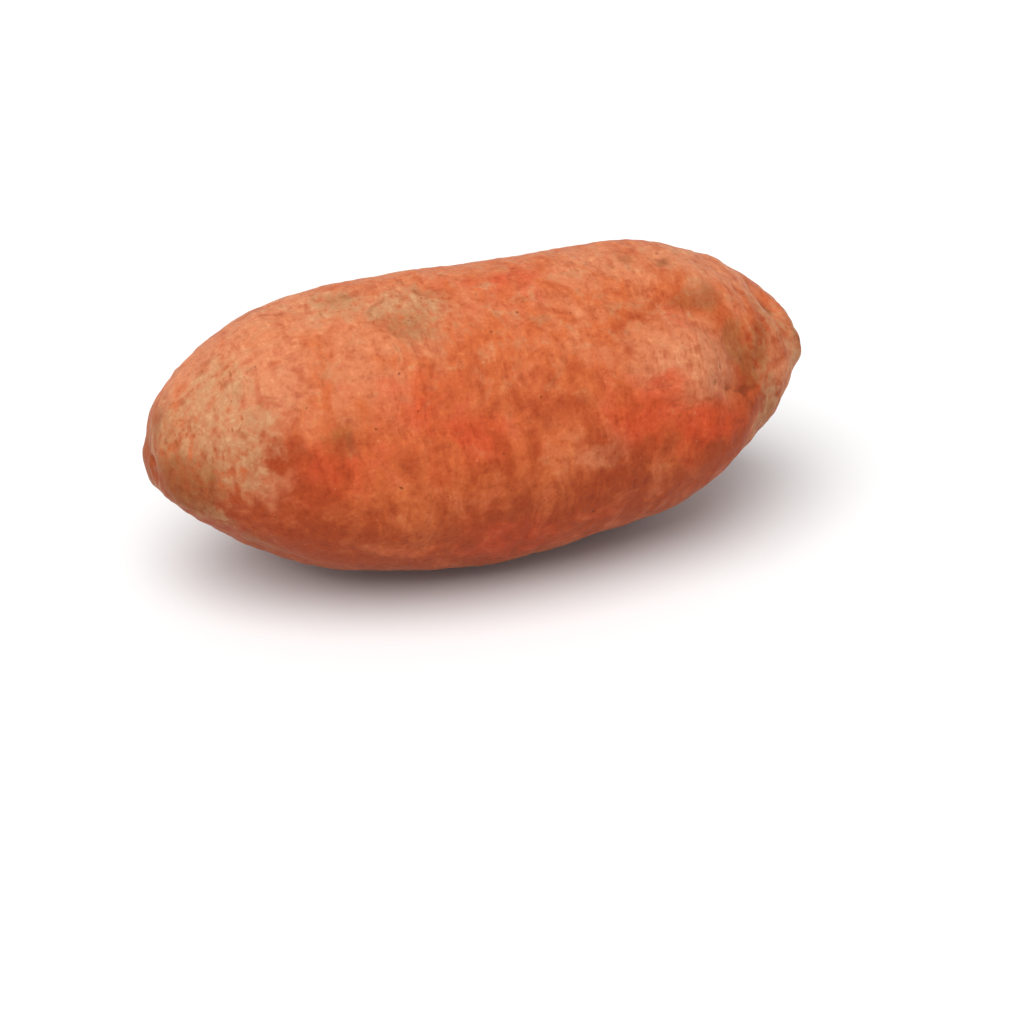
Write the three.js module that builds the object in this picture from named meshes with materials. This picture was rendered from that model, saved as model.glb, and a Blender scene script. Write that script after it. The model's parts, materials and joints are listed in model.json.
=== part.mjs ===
// A whole sweet potato: one swollen storage root, grown as one piece.
// Units are millimetres, +Z is up. It lies along X on the surface z = 0, with the tapered root end
// towards -X and the blunt stem end towards +X. The origin is on that surface, under the middle of
// the box that holds it.
import * as THREE from "three";

// Driving dimensions: the box that holds the root, and the depth of belly that is pressed flat.
const LENGTH = 170;
const WIDTH = 76;
const HEIGHT = 71;
const BELLY_FLAT = 1.2;

// Mesh steps along the root and around it.
const RINGS = 56;
const AROUND = 40;

// The outline that is turned about the X axis: [along, radius]. The root end is a rounded cone cut
// off short, the two swellings run into one another, and the stem end is blunter.
const OUTLINE = [
  [-85, 0],
  [-84.5, 7],
  [-80, 14],
  [-69, 23.5],
  [-53, 32],
  [-30, 37],
  [0, 38],
  [30, 37],
  [52, 33.5],
  [69, 25],
  [80, 14],
  [84.5, 6],
  [85, 0],
];

// The axis bows: its middle hangs below the two ends and swings towards -Y. Its places are evenly
// spaced from the root end to the stem end: [side, lift].
const AXIS = [
  [2, 1.5],
  [0, -1],
  [-1.5, 0],
  [0, 1],
  [3, 6],
];

// How far a section is from round: an oval share and a three-cornered share, each with its heading
// in degrees at mid length, and how far that heading turns from one end of the root to the other.
const OVAL = { share: 0.03, heading: 20, twist: 55 };
const TRIANGLE = { share: 0.022, heading: 75, twist: -70 };

// Swellings (height above 0) and hollows (below 0), each a soft round patch on the skin. around is
// in degrees: 0 at +Y, 90 on top, 180 at -Y and 270 underneath. reach is the patch's radius.
const PATCHES = {
  rootEndBack: { along: -56, around: 72, reach: 34, height: 4.4 },
  belly: { along: 2, around: 271, reach: 34, height: 4.6 },
  stemEndShoulder: { along: 44, around: 90, reach: 18, height: 1.6 },
  slopeToStemScar: { along: 71, around: 88, reach: 13, height: -2.2 },
  hollowBelowStemScar: { along: 66, around: 235, reach: 16, height: -2.5 },
  knuckleBesideStemScar: { along: 79, around: 165, reach: 8, height: 1.8 },
  rootEndChin: { along: -79, around: 215, reach: 9, height: 1.2 },
  frontCheek: { along: 48, around: 190, reach: 16, height: 1.2 },
  backFlankHollow: { along: 20, around: 10, reach: 22, height: -1.4 },
};

// Patches and the out-of-round shares die out where the blank is slimmer than this radius, so both
// tips stay smooth.
const TIP_RADIUS = 8;

// The closed round blank: the outline turned about the X axis.
function turnedBlank() {
  const outline = new THREE.SplineCurve(
    OUTLINE.map(([along, radius]) => new THREE.Vector2(radius, along)),
  );
  const profile = outline.getSpacedPoints(RINGS);
  profile[0].x = 0;
  profile[RINGS].x = 0;
  return new THREE.LatheGeometry(profile, AROUND).rotateZ(-Math.PI / 2);
}

// The share by which a section's radius differs from round at this place.
function outOfRound(along, around) {
  const turned = ({ heading, twist }) => THREE.MathUtils.degToRad(heading + (twist * along) / LENGTH);
  const oval = OVAL.share * Math.cos(2 * (around - turned(OVAL)));
  const triangle = TRIANGLE.share * Math.cos(3 * (around - turned(TRIANGLE)));
  return oval + triangle;
}

// The height of all patches together at this place, each with a bell-shaped fall from its centre.
function patchHeight(along, around, radius) {
  let height = 0;
  for (const patch of Object.values(PATCHES)) {
    const turn = around - THREE.MathUtils.degToRad(patch.around);
    const across = 2 * radius * Math.sin(turn / 2);
    const distance = Math.hypot(along - patch.along, across);
    height += patch.height * Math.exp(-((distance / patch.reach) ** 2));
  }
  return height;
}

// The axis's side (y) and lift (z) at a place along the root.
const axisCurve = new THREE.CatmullRomCurve3(AXIS.map(([side, lift]) => new THREE.Vector3(0, side, lift)));
function axisAt(along) {
  return axisCurve.getPoint(THREE.MathUtils.clamp(along / LENGTH + 0.5, 0, 1));
}

// Moves every point of the blank to its place on the grown root.
function grow(geometry) {
  const position = geometry.getAttribute("position");
  for (let i = 0; i < position.count; i += 1) {
    const along = position.getX(i);
    const radius = Math.hypot(position.getY(i), position.getZ(i));
    const around = Math.atan2(position.getZ(i), position.getY(i));
    const change = radius * outOfRound(along, around) + patchHeight(along, around, radius);
    const grown = radius + change * Math.min(1, radius / TIP_RADIUS);
    const axis = axisAt(along);
    position.setXYZ(i, along, axis.y + grown * Math.cos(around), axis.z + grown * Math.sin(around));
  }
  return geometry;
}

// Brings the root to its driving sizes, stands it on z = 0 and presses the belly flat there.
function settle(geometry) {
  geometry.computeBoundingBox();
  const size = geometry.boundingBox.getSize(new THREE.Vector3());
  geometry.scale(LENGTH / size.x, WIDTH / size.y, (HEIGHT + BELLY_FLAT) / size.z);
  geometry.computeBoundingBox();
  const { min, max } = geometry.boundingBox;
  geometry.translate(-(min.x + max.x) / 2, -(min.y + max.y) / 2, -min.z - BELLY_FLAT);
  const position = geometry.getAttribute("position");
  for (let i = 0; i < position.count; i += 1) {
    position.setZ(i, Math.max(position.getZ(i), 0));
  }
  geometry.computeVertexNormals();
  return geometry;
}

const skin = new THREE.MeshStandardMaterial({ color: 0xc8754e, roughness: 0.6, metalness: 0 });

const sweetPotato = new THREE.Mesh(settle(grow(turnedBlank())), skin);
sweetPotato.name = "sweet_potato";

const part = new THREE.Group();
part.add(sweetPotato);

export default part;
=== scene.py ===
"""Sweet potato: the looks of a whole raw root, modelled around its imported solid.

The root lies along X on z = 0, root end towards -X, stem end towards +X. Lengths are in metres, and the
places of dents, scars and colour patches are in millimetres along the root and in degrees around it:
0 at +Y, 90 on top, 180 at -Y and 270 underneath.
"""

import json
import math

import bmesh
import bpy
import numpy as np
from bpy.props import FloatProperty, FloatVectorProperty, IntProperty, PointerProperty
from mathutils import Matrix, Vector
from mathutils.bvhtree import BVHTree
from mathutils.kdtree import KDTree

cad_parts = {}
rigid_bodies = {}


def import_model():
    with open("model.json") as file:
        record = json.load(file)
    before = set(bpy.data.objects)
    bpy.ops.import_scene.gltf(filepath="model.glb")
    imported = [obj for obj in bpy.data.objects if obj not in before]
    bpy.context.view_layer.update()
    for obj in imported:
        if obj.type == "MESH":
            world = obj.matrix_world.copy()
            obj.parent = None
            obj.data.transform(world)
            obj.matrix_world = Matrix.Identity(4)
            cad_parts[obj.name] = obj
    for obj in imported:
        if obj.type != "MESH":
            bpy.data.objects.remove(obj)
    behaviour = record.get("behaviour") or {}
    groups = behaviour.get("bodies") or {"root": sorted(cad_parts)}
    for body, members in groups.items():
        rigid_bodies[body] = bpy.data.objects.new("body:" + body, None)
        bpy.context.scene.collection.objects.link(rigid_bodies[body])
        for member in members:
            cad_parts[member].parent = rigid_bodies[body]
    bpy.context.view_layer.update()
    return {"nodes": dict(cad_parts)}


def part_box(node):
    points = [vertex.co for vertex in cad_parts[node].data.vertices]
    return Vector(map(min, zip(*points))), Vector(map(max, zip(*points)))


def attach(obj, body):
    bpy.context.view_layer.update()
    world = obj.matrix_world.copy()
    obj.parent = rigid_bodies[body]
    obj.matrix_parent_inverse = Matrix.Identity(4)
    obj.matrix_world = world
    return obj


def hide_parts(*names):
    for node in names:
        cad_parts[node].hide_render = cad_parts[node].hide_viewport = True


bl_info = {
    "name": "Sweet Potato",
    "version": (1, 0, 0),
    "blender": (4, 5, 0),
    "location": "View3D > Sidebar > Sweet Potato",
    "description": "Models a raw sweet potato, its skin and a plain studio around its packed solid",
    "category": "Object",
}

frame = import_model()
NODE = "sweet_potato"
LOW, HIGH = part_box(NODE)
MIDDLE = (LOW + HIGH) / 2
HALF = (HIGH - LOW) / 2
MM = 0.001


# ---------------------------------------------------------------------------------------------------
# Places on the root
# ---------------------------------------------------------------------------------------------------


def rays_target(mesh):
    """A mesh as a tree that rays can be cast at."""
    return BVHTree.FromPolygons([v.co for v in mesh.vertices], [p.vertices for p in mesh.polygons])


SOLID = rays_target(frame["nodes"][NODE].data)


def place_on_skin(along, around):
    """The point of the solid's surface at so many millimetres along the root and degrees around it."""
    turn = math.radians(around)
    outwards = Vector((0, math.cos(turn), math.sin(turn)))
    place = SOLID.ray_cast(Vector((along * MM, MIDDLE.y, MIDDLE.z)), outwards)[0]
    if place is None:
        raise RuntimeError(f"no skin at {along} mm along and {around} degrees around")
    return place


# ---------------------------------------------------------------------------------------------------
# Shape
# ---------------------------------------------------------------------------------------------------

# Each stroke is a path of (along, around) places, the reach around it in mm and the height in mm that
# the skin is pushed out there, or in where it is negative.
BROAD_STROKES = [
    # the waist between the two swellings is shallow
    {"path": [(-52, 62), (-20, 66), (10, 66), (32, 62)], "reach": 22, "height": 1.7},
    # the knuckle on the front of the stem end, and the groove that runs round it
    {"path": [(40, 143), (44, 138)], "reach": 15, "height": 2.0},
    {"path": [(40, 114), (49, 121), (57, 131), (59, 144), (56, 157)], "reach": 9, "height": -2.6},
    # the faceted slope down to the stem scar, with its notch and its corner
    {"path": [(64, 66), (65, 76)], "reach": 5, "height": 0.9},
    {"path": [(73, 88), (74, 98), (74, 110)], "reach": 5, "height": -1.4},
    {"path": [(78, 92), (78.5, 100), (78, 108)], "reach": 3.5, "height": 1.2},
    {"path": [(80, 128), (79, 140)], "reach": 5, "height": 1.6},
    {"path": [(77, 118)], "reach": 7, "height": 0.8},
    {"path": [(69, 125)], "reach": 8, "height": 0.8},
    {"path": [(74, 160), (73, 174), (69, 190)], "reach": 9, "height": 1.1},
    # the flattened cheek, the tip and the chin of the root end
    {"path": [(-72, 116)], "reach": 13, "height": -0.8},
    {"path": [(-84.3, 350), (-84.3, 325)], "reach": 8, "height": 1.3},
    {"path": [(-81, 258), (-78, 246), (-72, 238), (-64, 236), (-57, 232)], "reach": 11, "height": -0.8},
    # slow swells on the flanks, the back and the belly
    {"path": [(-30, 190), (-10, 186)], "reach": 20, "height": 0.9},
    {"path": [(-2, 150)], "reach": 18, "height": -0.9},
    {"path": [(-48, 20), (-30, 12)], "reach": 20, "height": 1.0},
    {"path": [(28, 40)], "reach": 18, "height": -1.0},
    {"path": [(56, 15)], "reach": 15, "height": 1.3},
    {"path": [(66, 55), (70, 40)], "reach": 9, "height": -1.3},
    {"path": [(-66, 330)], "reach": 12, "height": -1.2},
    {"path": [(-20, 330), (8, 325)], "reach": 12, "height": -0.9},
    {"path": [(46, 300), (58, 310)], "reach": 10, "height": -1.1},
]

# Creases and root scars: short paths pressed in, and one low knob.
FINE_STROKES = [
    # scars on the edge of the knuckle
    {"path": [(51, 139)], "reach": 1.8, "height": -0.6},
    {"path": [(51.5, 147)], "reach": 2.0, "height": -0.7},
    {"path": [(48, 154)], "reach": 2.2, "height": -0.7},
    # the creases under the groove
    {"path": [(54, 158), (58, 160), (62, 160)], "reach": 1.8, "height": -0.55},
    {"path": [(58, 160), (59, 165), (60, 170)], "reach": 1.8, "height": -0.5},
    {"path": [(28, 151), (32, 152), (37, 153)], "reach": 1.8, "height": -0.45},
    {"path": [(36, 161), (42, 163)], "reach": 1.8, "height": -0.45},
    # the notch on the slope to the stem scar
    {"path": [(72, 90), (73, 97), (75, 106)], "reach": 1.8, "height": -0.55},
    # a knob and a scar on the shoulder of the stem end, and a shallow scar on the waist
    {"path": [(49, 80)], "reach": 2.5, "height": 0.6},
    {"path": [(44, 88), (46, 91)], "reach": 3.0, "height": -0.5},
    {"path": [(1, 117)], "reach": 1.8, "height": -0.5},
    # creases and pits on the root end
    {"path": [(-68, 108)], "reach": 1.7, "height": -0.5},
    {"path": [(-67, 114)], "reach": 1.8, "height": -0.5},
    {"path": [(-76, 130), (-75, 145), (-76, 158)], "reach": 2.4, "height": -0.3},
    {"path": [(-44, 150), (-43, 158)], "reach": 3.2, "height": -0.5},
]

# Root scars in rows along the root: each is a dimple with a low rim. The first row's place around, the
# slant of the rows and the scatter across them are in degrees, and the start, the length and the reach
# in mm. The scatter along a row is a share of the gap between two scars.
SCAR_ROWS = 5
SCARS_IN_ROW = 6
FIRST_ROW = 28
ROW_START = -62
ROW_LENGTH = 122
ROW_SLANT = 0.12
SCATTER_ALONG = 0.35
SCATTER_AROUND = 9
SCAR_REACH = 2.6
SCAR_DEPTH = 0.4

# The rim's reach and height and the dimple's depth, as shares of the scar's reach and depth, and how far
# the dimple's path goes to each side in degrees.
RIM_REACH = 2.6
RIM_HEIGHT = 0.5
DIMPLE_DEPTH = 1.6
DIMPLE_TURN = 2

# The broken scar at each end, ring by ring from its rim inwards: the ring's width as a share of the
# scar's radius, and how far in mm it rises, or sinks where it is negative.
SCAR_STEPS = [(0.14, 0.1), (0.2, -0.6), (0.2, -0.1)]

# How many rings of faces around a pole of the first cage are opened for that scar, and the number of
# edges that only a pole has more of.
SCAR_RINGS = 3
POLE_EDGES = 20

# The relief's cloud patterns: the size of their features, and their stretch along x, y and z.
RIDGE_SIZE = 11 * MM
RIDGE_STRETCH = (5, 1, 1)
CREASE_SIZE = 7 * MM
CREASE_STRETCH = (0.4, 1.6, 1.6)
END_CREASE_SIZE = 5 * MM
END_CREASE_STRETCH = (0.5, 1, 1)
PIMPLE_SIZE = 3 * MM

# The end creases start so far from the middle and are at full depth from the second distance on. In
# between they deepen in so many steps.
ENDS_START = 40 * MM
ENDS_FULL = 80 * MM
END_LEVELS = 20

# Where the points that a stroke moves lie, as shares of each straight piece of its path.
STROKE_SHARES = (0, 0.25, 0.5, 0.75)


class RootShape(bpy.types.PropertyGroup):
    """Sizes of the root's relief."""

    rings: IntProperty(name="Rings", description="Rings of the first cage", default=75)
    segments: IntProperty(name="Segments", description="Faces around the first cage", default=80)
    lump_size: FloatProperty(
        name="Lump Size", description="Width of the soft lumps", default=24 * MM, unit="LENGTH"
    )
    lump_height: FloatProperty(
        name="Lump Height", description="Height of the soft lumps", default=2.2 * MM, unit="LENGTH"
    )
    ridge_height: FloatProperty(
        name="Ridge Height",
        description="Height of the ridges along the root",
        default=0.6 * MM,
        unit="LENGTH",
    )
    crease_depth: FloatProperty(
        name="Crease Depth",
        description="Depth of the creases around the root",
        default=0.5 * MM,
        unit="LENGTH",
    )
    pimple_height: FloatProperty(
        name="Pimple Height",
        description="Height of the small uneven spots",
        default=0.22 * MM,
        unit="LENGTH",
    )
    tip_radius: FloatProperty(
        name="Tip Radius",
        description="Radius that the steps of the broken scar at each end are shares of",
        default=5 * MM,
        unit="LENGTH",
    )


def only(obj):
    """Selects one object alone and makes it active."""
    bpy.ops.object.select_all(action="DESELECT")
    obj.select_set(True)
    bpy.context.view_layer.objects.active = obj


def apply_modifier(obj, kind, name, **settings):
    """Adds one modifier with its settings and applies it."""
    only(obj)
    bpy.ops.object.modifier_add(type=kind)
    modifier = obj.modifiers[-1]
    modifier.name = name
    for key, value in settings.items():
        setattr(modifier, key, value)
    bpy.ops.object.modifier_apply(modifier=name)


def subdivide(obj):
    """One smooth subdivision of the whole mesh."""
    apply_modifier(obj, "SUBSURF", "finer", levels=1, render_levels=1)


def stroke(obj, strokes):
    """Pushes the skin out or in along each stroke's path, fading out over its reach."""
    only(obj)
    bpy.ops.object.mode_set(mode="EDIT")
    bpy.ops.mesh.select_mode(type="VERT")
    bpy.ops.mesh.select_all(action="DESELECT")
    mesh = bmesh.from_edit_mesh(obj.data)
    mesh.verts.ensure_lookup_table()
    finder = KDTree(len(mesh.verts))
    for vertex in mesh.verts:
        finder.insert(vertex.co, vertex.index)
    finder.balance()
    for row in strokes:
        points = [place_on_skin(along, around) for along, around in row["path"]]
        steps = points[-1:]
        for start, end in zip(points, points[1:]):
            steps += [start.lerp(end, share) for share in STROKE_SHARES]
        picked = {finder.find(point)[1] for point in steps}
        for index in picked:
            mesh.verts[index].select_set(True)
        bpy.ops.transform.shrink_fatten(
            value=row["height"] * MM,
            use_proportional_edit=True,
            proportional_edit_falloff="SMOOTH",
            proportional_size=row["reach"] * MM,
        )
        for index in picked:
            mesh.verts[index].select_set(False)
    bpy.ops.object.mode_set(mode="OBJECT")


def scar_strokes():
    """Root scars in slow rows along the root: a low swelling with a dimple pressed into it.

    Sines of the scar's count, of no common period, scatter the places and the strengths.
    """
    rows = []
    for row in range(SCAR_ROWS):
        for spot in range(SCARS_IN_ROW):
            count = row * SCARS_IN_ROW + spot
            share = (spot + 0.5 + SCATTER_ALONG * math.sin(2.4 * count)) / SCARS_IN_ROW
            along = ROW_START + ROW_LENGTH * share
            scatter = SCATTER_AROUND * math.sin(1.7 * count) + ROW_SLANT * along
            around = FIRST_ROW + 360 * row / SCAR_ROWS + scatter
            strength = 0.65 + 0.35 * math.sin(3.1 * count)
            depth = strength * SCAR_DEPTH
            place = [(along, around)]
            rows.append({"path": place, "reach": RIM_REACH * SCAR_REACH, "height": RIM_HEIGHT * depth})
            turn = DIMPLE_TURN * strength
            wide = [(along, around - turn), (along, around + turn)]
            rows.append({"path": wide, "reach": SCAR_REACH, "height": -DIMPLE_DEPTH * depth})
    return rows


def relief(obj, name, size, height, stretch=(1, 1, 1), group=""):
    """Raises and lowers the skin by a cloud pattern that is stretched along the axes."""
    texture = bpy.data.textures.new(name, "CLOUDS")
    texture.noise_scale = size
    texture.noise_depth = 1
    bpy.ops.object.empty_add(location=(0, 0, 0))
    ruler = bpy.context.active_object
    ruler.scale = stretch
    bpy.context.view_layer.update()
    apply_modifier(
        obj,
        "DISPLACE",
        name,
        texture=texture,
        texture_coords="OBJECT",
        texture_coords_object=ruler,
        strength=height,
        mid_level=0.5,
        vertex_group=group,
    )
    bpy.data.objects.remove(ruler)


def corners(obj):
    """The mesh's vertex places as rows of x, y, z."""
    flat = np.empty(len(obj.data.vertices) * 3)
    obj.data.vertices.foreach_get("co", flat)
    return flat.reshape(-1, 3)


def normals(obj):
    """The mesh's vertex normals as rows of x, y, z."""
    flat = np.empty(len(obj.data.vertices) * 3)
    obj.data.vertices.foreach_get("normal", flat)
    return flat.reshape(-1, 3)


def keep_marks(obj, name, before):
    """Keeps how far outwards the skin has moved since before, in mm, as an attribute of its points."""
    moved = ((corners(obj) - before) * normals(obj)).sum(axis=1)
    held = obj.data.attributes.new(name, "FLOAT", "POINT")
    held.data.foreach_set("value", moved / MM)


def weigh_ends(obj, name):
    """A vertex group that is 0 along the middle of the root and rises to 1 towards both ends."""
    group = obj.vertex_groups.new(name=name)
    share = np.clip((np.abs(corners(obj)[:, 0]) - ENDS_START) / (ENDS_FULL - ENDS_START), 0, 1)
    levels = np.round(share * END_LEVELS).astype(int)
    for level in range(1, END_LEVELS + 1):
        members = np.flatnonzero(levels == level).tolist()
        if members:
            group.add(members, level / END_LEVELS, "REPLACE")


def press_flat(obj):
    """Presses all that hangs below z = 0 onto it."""
    only(obj)
    low = np.flatnonzero(corners(obj)[:, 2] < 0)
    bpy.ops.object.mode_set(mode="EDIT")
    bpy.ops.mesh.select_all(action="DESELECT")
    bpy.ops.object.mode_set(mode="OBJECT")
    for index in low.tolist():
        obj.data.vertices[index].select = True
    bpy.ops.object.mode_set(mode="EDIT")
    bpy.ops.transform.resize(value=(1, 1, 0), orient_type="GLOBAL", center_override=(0, 0, 0))
    bpy.ops.object.mode_set(mode="OBJECT")


def tip_scars(obj, radius):
    """Opens each end of the cage and closes it again in rings, which sink the broken scar there."""
    only(obj)
    for side in (-1, 1):
        bpy.ops.object.mode_set(mode="EDIT")
        bpy.ops.mesh.select_mode(type="VERT")
        bpy.ops.mesh.select_all(action="DESELECT")
        mesh = bmesh.from_edit_mesh(obj.data)
        poles = [vertex for vertex in mesh.verts if len(vertex.link_edges) > POLE_EDGES]
        pole = max(poles, key=lambda vertex: side * vertex.co.x)
        pole.select_set(True)
        for ring in range(SCAR_RINGS):
            bpy.ops.mesh.select_more()
        bpy.ops.mesh.select_mode(type="FACE")
        bpy.ops.mesh.dissolve_faces()
        for share, rise in SCAR_STEPS:
            bpy.ops.mesh.inset(thickness=share * radius, depth=rise * MM, use_even_offset=False)
        bpy.ops.mesh.poke()
        bpy.ops.object.mode_set(mode="OBJECT")


class SWEETPOTATO_OT_root(bpy.types.Operator):
    """Model the root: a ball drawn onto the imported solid, then swollen, creased and scarred"""

    bl_idname = "sweetpotato.root"
    bl_label = "Root"

    def execute(self, context):
        shape = context.scene.sweetpotato_shape
        bpy.ops.object.select_all(action="DESELECT")
        bpy.ops.mesh.primitive_uv_sphere_add(
            segments=shape.segments,
            ring_count=shape.rings,
            radius=1,
            location=MIDDLE,
            rotation=(0, math.pi / 2, 0),
            scale=(HALF.z, HALF.y, HALF.x),
        )
        root = context.active_object
        root.name = "root_body"
        bpy.ops.object.transform_apply(location=True, rotation=True, scale=True)
        apply_modifier(
            root, "SHRINKWRAP", "drawn on", target=frame["nodes"][NODE], wrap_method="NEAREST_SURFACEPOINT"
        )
        apply_modifier(root, "SMOOTH", "evened", factor=0.5, iterations=4)
        stroke(root, BROAD_STROKES)
        tip_scars(root, shape.tip_radius)
        subdivide(root)
        relief(root, "lumps", shape.lump_size, shape.lump_height)
        relief(root, "ridges", RIDGE_SIZE, shape.ridge_height, RIDGE_STRETCH)
        before = corners(root)
        stroke(root, FINE_STROKES + scar_strokes())
        keep_marks(root, "scars", before)
        subdivide(root)
        weigh_ends(root, "ends")
        before = corners(root)
        relief(root, "creases", CREASE_SIZE, shape.crease_depth, CREASE_STRETCH)
        relief(root, "end creases", END_CREASE_SIZE, shape.crease_depth, END_CREASE_STRETCH, "ends")
        relief(root, "pimples", PIMPLE_SIZE, shape.pimple_height)
        keep_marks(root, "creases", before)
        press_flat(root)
        only(root)
        bpy.ops.object.shade_smooth()
        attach(root, "root")
        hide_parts(NODE)
        return {"FINISHED"}


# ---------------------------------------------------------------------------------------------------
# Skin
# ---------------------------------------------------------------------------------------------------


def tone(red, green, blue):
    """Display values out of 255 as the linear values that shaders take."""
    linear = []
    for value in (red, green, blue):
        share = value / 255
        linear.append(share / 12.92 if share <= 0.04045 else ((share + 0.055) / 1.055) ** 2.4)
    return tuple(linear)


def colour(name, description, default):
    """A colour that a user can change."""
    return FloatVectorProperty(
        name=name, description=description, default=default, size=3, min=0, max=1, subtype="COLOR"
    )


class SkinFinish(bpy.types.PropertyGroup):
    """Colours and gloss of the skin."""

    copper: colour("Copper", "The main colour of the skin", tone(178, 87, 45))
    salmon: colour("Salmon", "The paler, pinker colour of the upper side", tone(188, 118, 82))
    # Rust also paints shade: it darkens the lower side and the creases, along with the skin's own deeper
    # tone there.
    rust: colour("Rust", "Deeper mottles, creases and the lower side", tone(150, 60, 26))
    crimson: colour("Crimson", "Red zones", tone(182, 60, 28))
    tan: colour("Tan", "Corky patches", tone(167, 122, 86))
    bark: colour("Bark", "Brown patches, tips and the tint inside corky patches", tone(130, 72, 34))
    umber: colour("Umber", "Root scars and pits", tone(92, 46, 24))
    cream: colour("Cream", "Pale flecks", tone(214, 146, 104))
    roughness: FloatProperty(name="Roughness", description="Mean roughness", default=0.6, subtype="FACTOR")


class Wire:
    """One output in a material's tree: arithmetic on it adds Math nodes."""

    def __init__(self, nodes, socket):
        self.nodes = nodes
        self.socket = socket

    def other(self, output):
        """Another output of the same node."""
        return Wire(self.nodes, self.socket.node.outputs[output])

    def maths(self, operation, first, second):
        return self.nodes.node("ShaderNodeMath", {"operation": operation}, {0: first, 1: second})

    def __add__(self, other):
        return self.maths("ADD", self, other)

    def __radd__(self, other):
        return self.maths("ADD", other, self)

    def __sub__(self, other):
        return self.maths("SUBTRACT", self, other)

    def __mul__(self, other):
        return self.maths("MULTIPLY", self, other)

    def __truediv__(self, other):
        return self.maths("DIVIDE", self, other)

    def at_least(self, other):
        return self.maths("MAXIMUM", self, other)


class Nodes:
    """Adds nodes to one material's tree."""

    def __init__(self, material):
        material.use_nodes = True
        self.tree = material.node_tree
        self.tree.nodes.clear()

    def node(self, kind, settings=None, sockets=None, output=0):
        """Adds a node, with its settings set first and then its sockets' values or links."""
        made = self.tree.nodes.new(kind)
        for key, value in (settings or {}).items():
            setattr(made, key, value)
        for key, value in (sockets or {}).items():
            if isinstance(value, Wire):
                self.tree.links.new(value.socket, made.inputs[key])
            else:
                made.inputs[key].default_value = value
        return Wire(self, made.outputs[output]) if made.outputs else made

    def vector(self, operation, first, second):
        """Vector Math on two vectors, or on a vector and a constant."""
        return self.node("ShaderNodeVectorMath", {"operation": operation}, {0: first, 1: second})

    def length(self, vector):
        """A vector's length."""
        return self.node("ShaderNodeVectorMath", {"operation": "LENGTH"}, {0: vector}, output="Value")

    def blend(self, share, first, second):
        """Two colours mixed by a share."""
        settings = {"data_type": "RGBA", "blend_type": "MIX", "clamp_factor": True}
        first = first if isinstance(first, Wire) else (*first, 1)
        second = second if isinstance(second, Wire) else (*second, 1)
        return self.node("ShaderNodeMix", settings, {0: share, 6: first, 7: second}, output=2)

    def step(self, value, low, high):
        """0 below low and 1 above high, or the other way round where low is the higher, with a soft rise."""
        settings = {"interpolation_type": "SMOOTHSTEP"}
        sockets = {"Value": value, "From Min": low, "From Max": high, "To Min": 0.0, "To Max": 1.0}
        if low > high:
            sockets.update({"From Min": high, "From Max": low, "To Min": 1.0, "To Max": 0.0})
        return self.node("ShaderNodeMapRange", settings, sockets)

    def noise(self, point, size, detail=2.0, roughness=0.5, output="Fac"):
        """Cloudy noise, about 0.5 on average, with features of that size in mm."""
        sockets = {"Vector": point, "Scale": 1 / size, "Detail": detail, "Roughness": roughness}
        return self.node("ShaderNodeTexNoise", {}, sockets, output)

    def spots(self, point, size, share, reach):
        """Round spots: that share of cells of that size in mm holds one of up to reach mm in radius."""
        sockets = {"Vector": point, "Scale": 1 / size, "Randomness": 1.0}
        away = self.node("ShaderNodeTexVoronoi", {}, sockets, "Distance")
        chance = self.node("ShaderNodeSeparateColor", {}, {0: away.other("Color")})
        radius = (chance - (1 - share)) * (reach / size / share)
        return self.step(away - radius, 0.03, -0.05)


# Colour patches: (along, around) of the middle, reach along and across in mm, and strength.
PALE_PATCHES = [
    (-72, 76, 16, 16, 1.0),
    (-64, 106, 22, 24, 1.0),
    (-52, 78, 26, 20, 1.0),
    (-28, 88, 20, 16, 0.7),
    (42, 141, 21, 16, 1.0),
    (30, 84, 22, 15, 0.8),
    (54, 84, 18, 14, 1.0),
    (75, 158, 9, 11, 0.9),
    (20, 95, 16, 12, 0.5),
    (-62, 167, 8, 7, 0.6),
    (16, 171, 12, 8, 0.5),
    (62, 84, 16, 14, 0.7),
    (-40, 20, 26, 26, 0.8),
    (44, 30, 22, 20, 0.8),
]
TAN_PATCHES = [
    (-75, 128, 11, 19, 1.0),
    (-70, 106, 11, 13, 1.0),
    (-66, 142, 9, 16, 0.9),
    (-37, 86, 10, 8, 0.85),
    (-22, 98, 13, 11, 0.9),
    (40, 118, 8, 6, 0.5),
    (66, 144, 8, 12, 0.6),
    (72, 112, 9, 10, 0.7),
    (80, 135, 8, 14, 0.8),
    (-82, 110, 7, 14, 0.9),
    (-83, 165, 6, 12, 0.4),
    # painted light: the next tan patch brightens the chin of the root end where light wraps round the lower
    # left
    (-76, 204, 10, 8, 0.9),
    (66, 178, 8, 10, 1.0),
    (-14, 40, 16, 12, 0.8),
    (30, 20, 10, 14, 0.7),
    (-58, 10, 12, 12, 0.8),
    (70, 20, 8, 12, 0.7),
    (10, 235, 14, 9, 0.5),
    (-35, 300, 15, 10, 0.7),
    (40, 285, 10, 14, 0.6),
]
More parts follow.
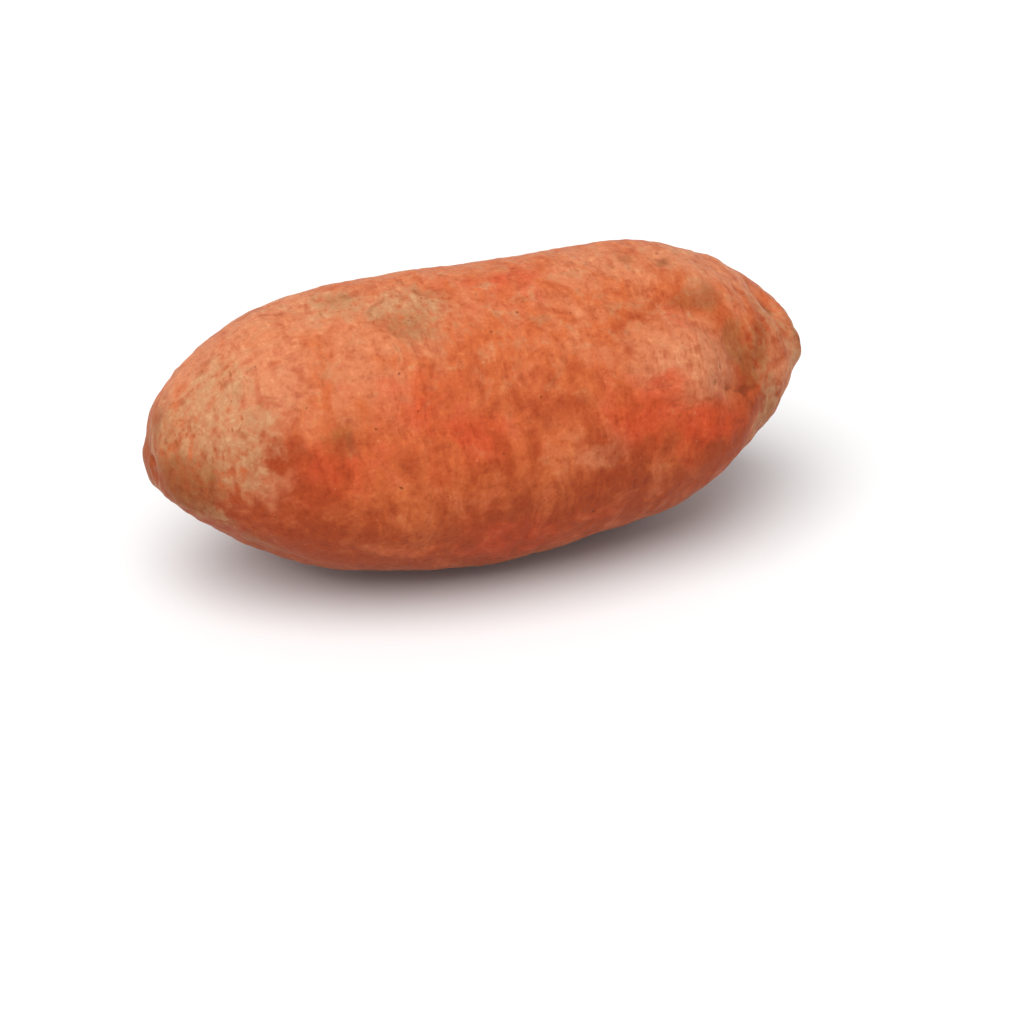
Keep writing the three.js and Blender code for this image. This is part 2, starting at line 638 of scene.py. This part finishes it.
BARK_PATCHES = [
    (58, 134, 5, 8, 1.0),
    (60, 148, 5, 8, 1.0),
    (49, 114, 10, 7, 0.85),
    (66, 139, 6, 6, 0.9),
    # the next brown patch under the root end is partly brown skin and partly painted shade of the lower left
    (-80, 180, 10, 12, 0.85),
    (-66, 222, 10, 8, 0.6),
    # the next brown patch is partly dark mottling and partly a painted shadow cast by a neighbouring piece
    (-45, 153, 7, 6, 0.6),
    (-36, 84, 5, 4, 0.7),
    (-25, 108, 8, 6, 0.7),
    (-16, 88, 6, 5, 0.6),
    (44, 89, 3.5, 3, 1.0),
    (74, 99, 3.5, 4, 0.9),
    (38, 86, 4, 3, 0.6),
    (2, 78, 6, 3, 0.7),
    (64, 45, 6, 9, 0.8),
    (-70, 330, 8, 8, 0.7),
    (4, 325, 9, 7, 0.6),
]
RED_PATCHES = [
    (4, 92, 14, 10, 0.62),
    (-12, 84, 6, 5, 0.5),
    (31, 160, 17, 12, 0.8),
    (46, 172, 15, 11, 0.9),
    (-27, 139, 14, 9, 0.6),
    (-18, 158, 22, 9, 0.6),
    (42, 122, 10, 8, 0.5),
    (-48, 164, 16, 10, 0.5),
    (-5, 205, 30, 14, 0.5),
    (-28, 350, 20, 12, 0.7),
    (48, 350, 14, 14, 0.6),
]


# A patch is at full strength within the first share of its reach and gone beyond the second, and the
# noise that makes its edge ragged counts for so much.
PATCH_CORE = 0.1
PATCH_EDGE = 1.35
PATCH_RAGGED = 1.6


def patches(nodes, point, rows, ragged, soft):
    """One mask for a list of patches: round spots with ragged edges, softened by that much each way."""
    mask = 0.0
    for along, around, reach_along, reach_across, strength in rows:
        middle = place_on_skin(along, around) / MM
        away = nodes.vector("SUBTRACT", point, tuple(middle))
        scaled = nodes.vector("DIVIDE", away, (reach_along, reach_across, reach_across))
        spot = nodes.step(nodes.length(scaled), PATCH_EDGE, PATCH_CORE) * strength
        mask = spot.at_least(mask) if isinstance(mask, Wire) else spot
    return nodes.step(mask + (ragged - 0.5) * PATCH_RAGGED, 0.5 - soft, 0.5 + soft)


class SkinPatterns:
    """The places and noises that several layers of the skin share. Sizes are in mm."""

    def __init__(self, nodes):
        place = nodes.node("ShaderNodeTexCoord", output="Object")
        self.point = nodes.vector("MULTIPLY", place, (1 / MM, 1 / MM, 1 / MM))
        self.along = nodes.node("ShaderNodeSeparateXYZ", sockets={0: self.point}, output="X")
        self.rise = self.along.other("Z") / (HIGH.z / MM)

        # warped points break the outlines of patches; ringed points draw a pattern out around the root
        swirl = nodes.noise(self.point, size=14, output="Color")
        self.swirl = nodes.vector("SUBTRACT", swirl, (0.5, 0.5, 0.5))
        self.warped = self.swirled(nodes, (14, 14, 14))
        self.ringed = nodes.vector("MULTIPLY", self.swirled(nodes, (6, 6, 6)), (1.0, 0.24, 0.24))

        self.broad = nodes.noise(self.warped, size=22, detail=1.0)
        self.mottle = nodes.noise(self.warped, size=7.0)
        self.small = nodes.noise(self.point, size=2.4, roughness=0.55)
        self.grain = nodes.noise(self.point, size=0.9, roughness=0.6)
        self.dashes = nodes.noise(self.ringed, size=1.1, roughness=0.55)
        self.bands = nodes.noise(self.ringed, size=4.5, detail=1.0)

    def swirled(self, nodes, reach):
        """The points moved by the swirl, by so many mm along x, y and z."""
        return nodes.vector("ADD", self.point, nodes.vector("MULTIPLY", self.swirl, reach))


def ground_colour(nodes, look, finish):
    """Rust below, copper on the flanks and salmon above, in soft clouds, with pale and red zones. The rust
    below is partly the skin's own deeper tone and partly painted shade.
    """
    clouds = (look.broad - 0.5) * 1.2 + (look.mottle - 0.5) * 1.0 + (look.bands - 0.5) * 0.7
    height = look.rise + clouds
    # painted shade: by height the skin turns darker and redder towards the bottom, partly its own tone and
    # partly shade of the lower side
    skin = nodes.blend(nodes.step(height, 0.25, 0.9), finish.rust, finish.copper)
    pale = patches(nodes, look.warped, PALE_PATCHES, look.mottle, soft=0.5) * 0.85
    upper = nodes.step(height, 0.75, 1.25) * 0.6
    skin = nodes.blend(upper.at_least(pale), skin, finish.salmon)
    red = patches(nodes, look.warped, RED_PATCHES, look.mottle, soft=0.5)
    return nodes.blend(red * 0.75, skin, finish.crimson)


def corky_patches(nodes, look, finish, skin):
    """Tan and brown patches on the skin. Also gives the mask of the tan ones."""
    edge = look.mottle * 0.5 + look.small * 0.5
    tan = patches(nodes, look.warped, TAN_PATCHES, edge, soft=0.4)
    bark = patches(nodes, look.warped, BARK_PATCHES, edge, soft=0.4)
    skin = nodes.blend(tan * nodes.step(look.small, 0.2, 0.6) * 0.75, skin, finish.tan)
    skin = nodes.blend(tan * nodes.step(look.mottle, 0.55, 0.7) * 0.4, skin, finish.bark)
    return nodes.blend(bark * 0.7, skin, finish.bark), tan


def fine_mottles(nodes, look, finish, skin, tan):
    """Smudges, fine mottles, dashes and grain: each lighter or darker than the skin under it."""
    smudge = nodes.noise(look.warped, size=4.5, detail=3.0, roughness=0.6)
    upper = nodes.step(look.rise, 0.55, 1.1)
    skin = nodes.blend(nodes.step(smudge, 0.52, 0.7) * upper * 0.5, skin, finish.tan)
    skin = nodes.blend(nodes.step(smudge, 0.48, 0.32) * 0.4, skin, finish.rust)
    streaky = nodes.step(nodes.noise(look.point, size=17, detail=1.0), 0.4, 0.62)
    dashed = (look.dashes - 0.5) * (0.25 + streaky * 0.5)
    fine = (look.small - 0.5) * 0.8 + dashed + (look.grain - 0.5) * 0.6
    lighter = nodes.vector("MULTIPLY", skin, (1.25, 1.5, 1.6))
    darker = nodes.vector("MULTIPLY", skin, (0.7, 0.52, 0.42))
    grained = nodes.blend(nodes.step(fine, 0.0, 0.26) * 0.6, skin, lighter)
    skin = nodes.blend(nodes.step(fine, 0.0, -0.26) * 0.6, grained, darker)
    flakes = nodes.noise(look.ringed, size=0.9, detail=1.0) * 0.6 + look.small * 0.4
    return nodes.blend(nodes.step(flakes, 0.38, 0.3) * (0.2 + tan * 0.5), skin, finish.bark)


def pits_and_flecks(nodes, look, finish, skin):
    """Dark pits and pale flecks on the skin. Also gives the mask of the pits."""
    crumbs = look.swirled(nodes, (9, 6, 6))
    pits = nodes.spots(crumbs, size=2.6, share=0.14, reach=0.45) * nodes.step(look.small, 0.3, 0.5)
    skin = nodes.blend(pits * 0.5, skin, finish.umber)
    flecks = nodes.spots(look.point, size=2.2, share=0.15, reach=0.35)
    return nodes.blend(flecks * 0.2, skin, finish.cream), pits


def dirt_shade_and_ends(nodes, look, finish, skin):
    """Creases darkened with rust, partly dirt and partly painted shade, and darker root scars and tips on
    the skin. Also gives the mask of the scars.
    """
    crease = nodes.node("ShaderNodeAttribute", {"attribute_name": "creases"}, output="Fac")
    scar = nodes.node("ShaderNodeAttribute", {"attribute_name": "scars"}, output="Fac")
    # painted shade: the deeper a crease, the more rust it gets, partly dirt and partly shade in the crease
    skin = nodes.blend(nodes.step(crease, -0.05, -0.25) * 0.4, skin, finish.rust)
    dark = nodes.step(scar + (look.small - 0.5) * 0.5, -0.22, -0.65)
    skin = nodes.blend(dark * (0.25 + look.small * 0.5), skin, finish.umber)
    away = nodes.node("ShaderNodeMath", {"operation": "ABSOLUTE"}, {0: look.along})
    reach = HALF.x / MM
    tips = nodes.step(away + (look.mottle - 0.5) * 8, reach - 6, reach + 2)
    return nodes.blend(tips * 0.5, skin, finish.bark), dark


def skin_material(finish):
    """The skin: its colour in layers, its uneven gloss and its finest relief."""
    material = bpy.data.materials.new("sweet potato skin")
    nodes = Nodes(material)
    look = SkinPatterns(nodes)
    skin = ground_colour(nodes, look, finish)
    skin, tan = corky_patches(nodes, look, finish, skin)
    skin = fine_mottles(nodes, look, finish, skin, tan)
    skin, pits = pits_and_flecks(nodes, look, finish, skin)
    skin, dark = dirt_shade_and_ends(nodes, look, finish, skin)
    rough = finish.roughness + tan * 0.1 + (look.small - 0.5) * 0.3 + pits * 0.1 + dark * 0.15
    raised = look.grain * 0.3 + look.dashes * 0.5 + look.small * 0.5 - pits * 0.9
    bump_sockets = {"Strength": 0.7, "Distance": 0.5 * MM, "Height": raised}
    bump = nodes.node("ShaderNodeBump", {}, bump_sockets, output="Normal")
    shader = nodes.node(
        "ShaderNodeBsdfPrincipled",
        {},
        {
            "Base Color": skin,
            "Roughness": rough,
            "Normal": bump,
            "IOR": 1.42,
            "Specular IOR Level": 0.15,
            "Sheen Weight": 0.2,
            "Sheen Roughness": 0.3,
            "Sheen Tint": (1.0, 0.78, 0.52, 1.0),
        },
    )
    nodes.node("ShaderNodeOutputMaterial", {}, {"Surface": shader})
    return material


class SWEETPOTATO_OT_skin(bpy.types.Operator):
    """Give the root its skin"""

    bl_idname = "sweetpotato.skin"
    bl_label = "Skin"

    def execute(self, context):
        root = bpy.data.objects["root_body"]
        root.data.materials.clear()
        root.data.materials.append(skin_material(context.scene.sweetpotato_finish))
        return {"FINISHED"}


# ---------------------------------------------------------------------------------------------------
# Stage
# ---------------------------------------------------------------------------------------------------


class StudioSetup(bpy.types.PropertyGroup):
    """The floor, the lights and the camera."""

    floor: colour("Floor", "Colour of the floor", (0.7, 0.7, 0.7))
    surround: FloatProperty(name="Surround", description="Brightness of the white surround", default=0.68)
    key: FloatProperty(name="Key", description="Brightness of the key light", default=3.1)
    softness: FloatProperty(
        name="Softness",
        description="How wide the key light looks",
        default=math.radians(60),
        subtype="ANGLE",
    )
    azimuth: FloatProperty(
        name="Azimuth",
        description="Turn of the camera round the root",
        default=math.radians(-20),
        subtype="ANGLE",
    )
    elevation: FloatProperty(
        name="Elevation",
        description="Rise of the camera",
        default=math.radians(30),
        subtype="ANGLE",
    )
    distance: FloatProperty(
        name="Distance",
        description="From the camera to the place that it aims at",
        default=0.605,
        unit="LENGTH",
    )
    aim_right: FloatProperty(
        name="Aim Right",
        description="How far right of the root's middle the camera aims",
        default=6 * MM,
        unit="LENGTH",
    )
    aim_down: FloatProperty(
        name="Aim Down",
        description="How far below the root's middle the camera aims",
        default=24.8 * MM,
        unit="LENGTH",
    )
    lens: FloatProperty(name="Lens", description="Focal length in mm", default=85)


# The direction that the key light comes from: above the front left.
KEY_FROM = Vector((-0.32, -0.3, 1.0))

# The floor's side, and how far it lies below the belly so that the two don't share a plane. The
# camera's sensor is so many mm wide, and it sees from so near in metres.
FLOOR_SIDE = 16
FLOOR_DROP = 0.05 * MM
SENSOR_WIDTH = 36
NEAREST_SEEN = 0.01


def floor_material(studio):
    """Plain matt floor paint."""
    material = bpy.data.materials.new("white floor")
    nodes = Nodes(material)
    sockets = {"Base Color": (*studio.floor, 1), "Roughness": 0.9, "Specular IOR Level": 0.1}
    shader = nodes.node("ShaderNodeBsdfPrincipled", {}, sockets)
    nodes.node("ShaderNodeOutputMaterial", {}, {"Surface": shader})
    return material


class SWEETPOTATO_OT_stage(bpy.types.Operator):
    """Set up a plain white floor, soft lights and the camera"""

    bl_idname = "sweetpotato.stage"
    bl_label = "Stage"

    def execute(self, context):
        studio = context.scene.sweetpotato_studio
        bpy.ops.object.select_all(action="DESELECT")
        bpy.ops.mesh.primitive_plane_add(size=FLOOR_SIDE, location=(0, 0, -FLOOR_DROP))
        floor = context.active_object
        floor.name = "floor"
        floor.data.materials.append(floor_material(studio))

        world = bpy.data.worlds.new("surround")
        world.use_nodes = True
        background = world.node_tree.nodes["Background"]
        background.inputs["Color"].default_value = (1, 1, 1, 1)
        background.inputs["Strength"].default_value = studio.surround
        context.scene.world = world

        bpy.ops.object.light_add(type="SUN", location=MIDDLE + KEY_FROM)
        key = context.active_object
        key.name = "key light"
        key.data.energy = studio.key
        key.data.angle = studio.softness
        key.rotation_euler = KEY_FROM.to_track_quat("Z", "Y").to_euler()

        turn = studio.azimuth
        level = math.cos(studio.elevation)
        back = Vector((math.sin(turn) * level, -math.cos(turn) * level, math.sin(studio.elevation)))
        right = Vector((math.cos(turn), math.sin(turn), 0))
        up = back.cross(right)
        aim = MIDDLE + right * studio.aim_right - up * studio.aim_down
        bpy.ops.object.camera_add(location=aim + back * studio.distance)
        camera = context.active_object
        camera.name = "camera"
        camera.data.lens = studio.lens
        camera.data.sensor_width = SENSOR_WIDTH
        camera.data.clip_start = NEAREST_SEEN
        camera.rotation_euler = back.to_track_quat("Z", "Y").to_euler()
        context.scene.camera = camera
        context.scene.view_settings.view_transform = "Standard"
        return {"FINISHED"}


class VIEW3D_PT_sweetpotato(bpy.types.Panel):
    """Lists the steps that model the sweet potato"""

    bl_label = "Sweet Potato"
    bl_idname = "VIEW3D_PT_sweetpotato"
    bl_space_type = "VIEW_3D"
    bl_region_type = "UI"
    bl_category = "Sweet Potato"

    def draw(self, context):
        scene = context.scene
        for title, settings, operator in (
            ("Shape", scene.sweetpotato_shape, SWEETPOTATO_OT_root),
            ("Skin", scene.sweetpotato_finish, SWEETPOTATO_OT_skin),
            ("Stage", scene.sweetpotato_studio, SWEETPOTATO_OT_stage),
        ):
            column = self.layout.column()
            column.label(text=title)
            for name in settings.__annotations__:
                column.prop(settings, name)
            column.operator(operator.bl_idname)


CLASSES = (
    RootShape,
    SkinFinish,
    StudioSetup,
    SWEETPOTATO_OT_root,
    SWEETPOTATO_OT_skin,
    SWEETPOTATO_OT_stage,
    VIEW3D_PT_sweetpotato,
)


def register():
    for cls in CLASSES:
        bpy.utils.register_class(cls)
    bpy.types.Scene.sweetpotato_shape = PointerProperty(type=RootShape)
    bpy.types.Scene.sweetpotato_finish = PointerProperty(type=SkinFinish)
    bpy.types.Scene.sweetpotato_studio = PointerProperty(type=StudioSetup)


def unregister():
    del bpy.types.Scene.sweetpotato_studio
    del bpy.types.Scene.sweetpotato_finish
    del bpy.types.Scene.sweetpotato_shape
    for cls in reversed(CLASSES):
        bpy.utils.unregister_class(cls)


def main():
    register()
    bpy.ops.sweetpotato.root()
    bpy.ops.sweetpotato.skin()
    bpy.ops.sweetpotato.stage()


if __name__ == "__main__":
    main()
